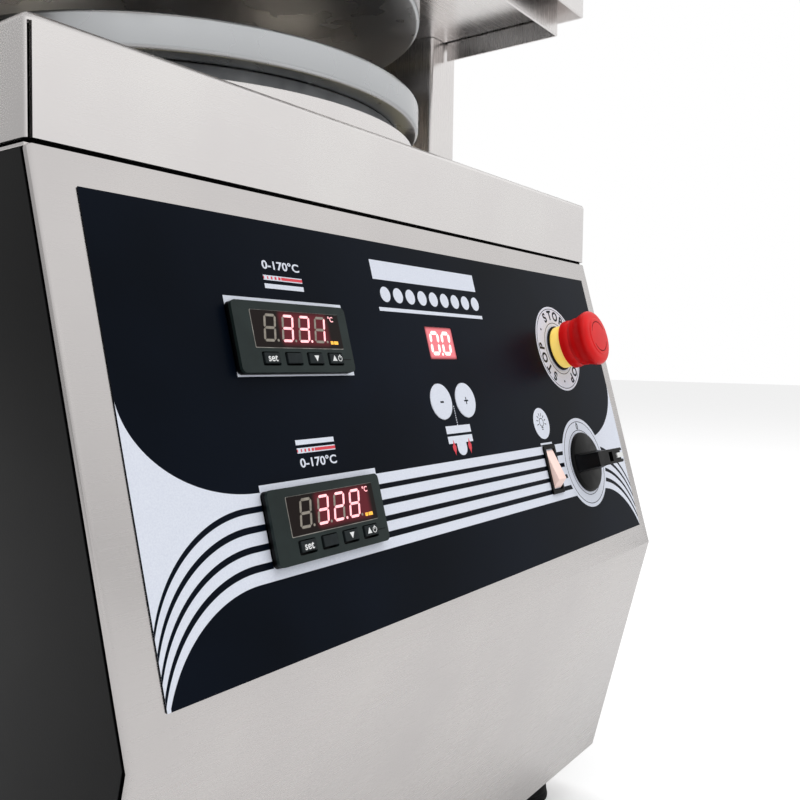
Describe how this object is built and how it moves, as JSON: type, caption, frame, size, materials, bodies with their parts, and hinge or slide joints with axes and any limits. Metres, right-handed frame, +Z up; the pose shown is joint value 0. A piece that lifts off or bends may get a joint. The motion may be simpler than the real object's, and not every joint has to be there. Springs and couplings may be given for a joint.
{
  "type": "pizza dough press",
  "caption": "Countertop hot press for pizza dough: sloping control console, heated plates closed by a motor screw, sliding guard, temperature controls, stop button and main switch.",
  "frame": {"origin": "centre of the bounding box on the surface that the feet stand on; the press axis is 0.0 m in X and Y", "axes": "+Z up along the press axis, front with the control panel towards -Y, +X to the right of someone facing it"},
  "size_m": [0.48, 0.5533, 0.85],
  "materials": {
    "stainless": "satin brushed stainless sheet",
    "black_paint": "satin black powder coat on sheet steel",
    "frame_steel": "grey primer on machined mild steel",
    "ground_steel": "ground and hard chromed",
    "plate_aluminium": "turned flat, satin",
    "heater_aluminium": "cast, dull",
    "insulation_board": "pale mineral board",
    "machine_paint": "grey machine enamel on castings",
    "switchgear": "light grey moulded housings",
    "rubber": "moulded black rubber",
    "overlay_film": "printed polyester film, fine matt texture",
    "bezel_plastic": "moulded dark grey-green",
    "key_plastic": "moulded dark keys",
    "black_plastic": "moulded black",
    "white_key": "printed white key",
    "red_plastic": "moulded signal red",
    "yellow_plastic": "moulded yellow",
    "red_window": "red window over lit digits",
    "rocker_plastic": "clear key with a warm lamp behind it",
    "lamp_glass": "frosted lamp cover"
  },
  "bodies": {
    "casing": {"base_pan": "stainless", "front_panel": "stainless", "rear_panel": "stainless", "deck_cover": "stainless", "left_cheek": "stainless", "right_cheek": "stainless", "upper_rear_cover": "stainless", "head_cover": "stainless", "head_underplate": "stainless", "left_side_panel": "black_paint", "right_side_panel": "black_paint", "press_bed": "frame_steel", "press_crown": "frame_steel", "tie_column_left": "ground_steel", "tie_column_right": "ground_steel", "gearbox": "machine_paint", "motor": "machine_paint", "contactor_rail": "switchgear", "foot_front_left": "rubber", "foot_front_right": "rubber", "foot_back_left": "rubber", "foot_back_right": "rubber", "control_overlay": "overlay_film", "upper_controller": "bezel_plastic", "lower_controller": "bezel_plastic", "cable_gland": "black_plastic", "stop_contacts": "black_plastic", "main_switch_body": "black_plastic", "rocker_frame": "black_plastic", "stop_collar": "yellow_plastic", "timer_display": "red_window", "chamber_lamp": "lamp_glass"},
    "screw": {"drive_screw": "ground_steel", "shaft_coupling": "frame_steel"},
    "ram": {"crosshead": "frame_steel", "pedestal": "frame_steel", "lower_insulation": "insulation_board", "lower_heater": "heater_aluminium", "lower_platen": "plate_aluminium"},
    "upper_plate": {"upper_platen": "plate_aluminium", "upper_heater": "heater_aluminium", "upper_insulation": "insulation_board", "adjust_spindle": "ground_steel"},
    "knob": {"adjust_knob": "black_plastic"},
    "guard": {"guard_shield": "stainless", "guard_handle": "black_plastic"},
    "stop_plunger": {"stop_stem": "black_plastic"},
    "stop_mushroom": {"stop_head": "red_plastic"},
    "switch_grip": {"main_switch_knob": "black_plastic"},
    "rocker": {"rocker_key": "rocker_plastic"},
    "upper_set_key": {"upper_set_key": "key_plastic"},
    "upper_blank_key": {"upper_blank_key": "key_plastic"},
    "upper_down_key": {"upper_down_key": "key_plastic"},
    "upper_up_key": {"upper_up_key": "key_plastic"},
    "lower_set_key": {"lower_set_key": "key_plastic"},
    "lower_blank_key": {"lower_blank_key": "key_plastic"},
    "lower_down_key": {"lower_down_key": "key_plastic"},
    "lower_up_key": {"lower_up_key": "key_plastic"},
    "timer_minus_key": {"timer_minus_key": "white_key"},
    "timer_plus_key": {"timer_plus_key": "white_key"}
  },
  "joints": [
    {"name": "ram_lift", "type": "slide", "parent": "casing", "child": "ram", "axis": [0, 0, 1], "range_m": [0, 0.059]},
    {"name": "screw_spin", "type": "hinge", "parent": "casing", "child": "screw", "pos_m": [0, 0, 0.3], "axis": [0, 0, 1], "range_deg": [-2160, 0]},
    {"name": "upper_plate_adjust", "type": "slide", "parent": "casing", "child": "upper_plate", "axis": [0, 0, 1], "range_m": [0, 0.01]},
    {"name": "knob_turn", "type": "hinge", "parent": "casing", "child": "knob", "pos_m": [0, 0, 0.83], "axis": [0, 0, 1], "range_deg": [-900, 0]},
    {"name": "guard_slide", "type": "slide", "parent": "casing", "child": "guard", "axis": [0, 0, -1], "range_m": [0, 0.128]},
    {"name": "stop_push", "type": "slide", "parent": "casing", "child": "stop_plunger", "axis": [0, 0.9622, -0.2723], "range_m": [0, 0.005]},
    {"name": "stop_twist", "type": "hinge", "parent": "stop_plunger", "child": "stop_mushroom", "pos_m": [0.1558, -0.2509, 0.37036], "axis": [0, 0.9622, -0.2723], "range_deg": [0, 45], "stiffness_Nm_per_rad": 0.02},
    {"name": "main_switch_turn", "type": "hinge", "parent": "casing", "child": "switch_grip", "pos_m": [0.1559, -0.26429, 0.28633], "axis": [0, -0.9622, 0.2723], "range_deg": [0, 90]},
    {"name": "rocker_tilt", "type": "hinge", "parent": "casing", "child": "rocker", "pos_m": [0.105, -0.25477, 0.28322], "axis": [1, 0, 0], "range_deg": [0, 27]},
    {"name": "upper_set_key_press", "type": "slide", "parent": "casing", "child": "upper_set_key", "axis": [0, 0.9622, -0.2723], "range_m": [0, 0.0008], "stiffness_N_per_m": 300, "springref_m": -0.0004},
    {"name": "upper_blank_key_press", "type": "slide", "parent": "casing", "child": "upper_blank_key", "axis": [0, 0.9622, -0.2723], "range_m": [0, 0.0008], "stiffness_N_per_m": 300, "springref_m": -0.0004},
    {"name": "upper_down_key_press", "type": "slide", "parent": "casing", "child": "upper_down_key", "axis": [0, 0.9622, -0.2723], "range_m": [0, 0.0008], "stiffness_N_per_m": 300, "springref_m": -0.0004},
    {"name": "upper_up_key_press", "type": "slide", "parent": "casing", "child": "upper_up_key", "axis": [0, 0.9622, -0.2723], "range_m": [0, 0.0008], "stiffness_N_per_m": 300, "springref_m": -0.0004},
    {"name": "lower_set_key_press", "type": "slide", "parent": "casing", "child": "lower_set_key", "axis": [0, 0.9622, -0.2723], "range_m": [0, 0.0008], "stiffness_N_per_m": 300, "springref_m": -0.0004},
    {"name": "lower_blank_key_press", "type": "slide", "parent": "casing", "child": "lower_blank_key", "axis": [0, 0.9622, -0.2723], "range_m": [0, 0.0008], "stiffness_N_per_m": 300, "springref_m": -0.0004},
    {"name": "lower_down_key_press", "type": "slide", "parent": "casing", "child": "lower_down_key", "axis": [0, 0.9622, -0.2723], "range_m": [0, 0.0008], "stiffness_N_per_m": 300, "springref_m": -0.0004},
    {"name": "lower_up_key_press", "type": "slide", "parent": "casing", "child": "lower_up_key", "axis": [0, 0.9622, -0.2723], "range_m": [0, 0.0008], "stiffness_N_per_m": 300, "springref_m": -0.0004},
    {"name": "timer_minus_key_press", "type": "slide", "parent": "casing", "child": "timer_minus_key", "axis": [0, 0.9622, -0.2723], "range_m": [0, 0.0004], "stiffness_N_per_m": 500, "springref_m": -0.0002},
    {"name": "timer_plus_key_press", "type": "slide", "parent": "casing", "child": "timer_plus_key", "axis": [0, 0.9622, -0.2723], "range_m": [0, 0.0004], "stiffness_N_per_m": 500, "springref_m": -0.0002}
  ],
  "couplings": [
    {"joint": "screw_spin", "follows": "ram_lift", "rad_per_m": -628.32},
    {"joint": "knob_turn", "follows": "upper_plate_adjust", "rad_per_m": -1570.8}
  ]
}
